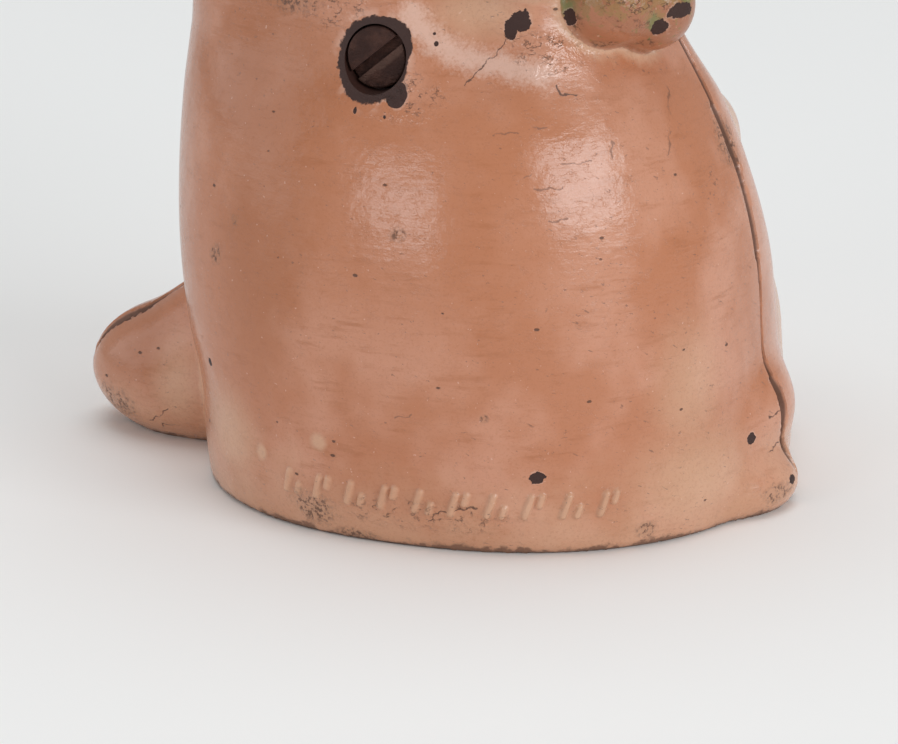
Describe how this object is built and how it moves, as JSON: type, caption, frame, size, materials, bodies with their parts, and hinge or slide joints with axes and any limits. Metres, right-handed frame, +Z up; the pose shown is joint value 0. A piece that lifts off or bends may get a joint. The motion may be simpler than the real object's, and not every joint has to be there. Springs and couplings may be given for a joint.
{
  "type": "coin bank",
  "caption": "Hollow cast-iron coin bank shaped as a chubby seated puppy, in two halves held by a screw, with a coin slot in the back of the head.",
  "frame": {"origin": "middle of the underside of the box round the whole bank", "axes": "+Z up; the dog looks along -Y and its left side is +X; the two halves meet on a plane square to Y"},
  "size_m": [0.1034, 0.0908, 0.1245],
  "materials": {
    "back_paint": "old gloss enamel, tan orange with cream in the creases, chipped to dark iron",
    "front_paint": "old gloss enamel, tan orange with cream in the creases, chipped to dark iron",
    "screw_iron": "bare, browned with age"
  },
  "bodies": {
    "root": {"back_half": "back_paint", "front_half": "front_paint", "screw": "screw_iron"}
  },
  "joints": []
}
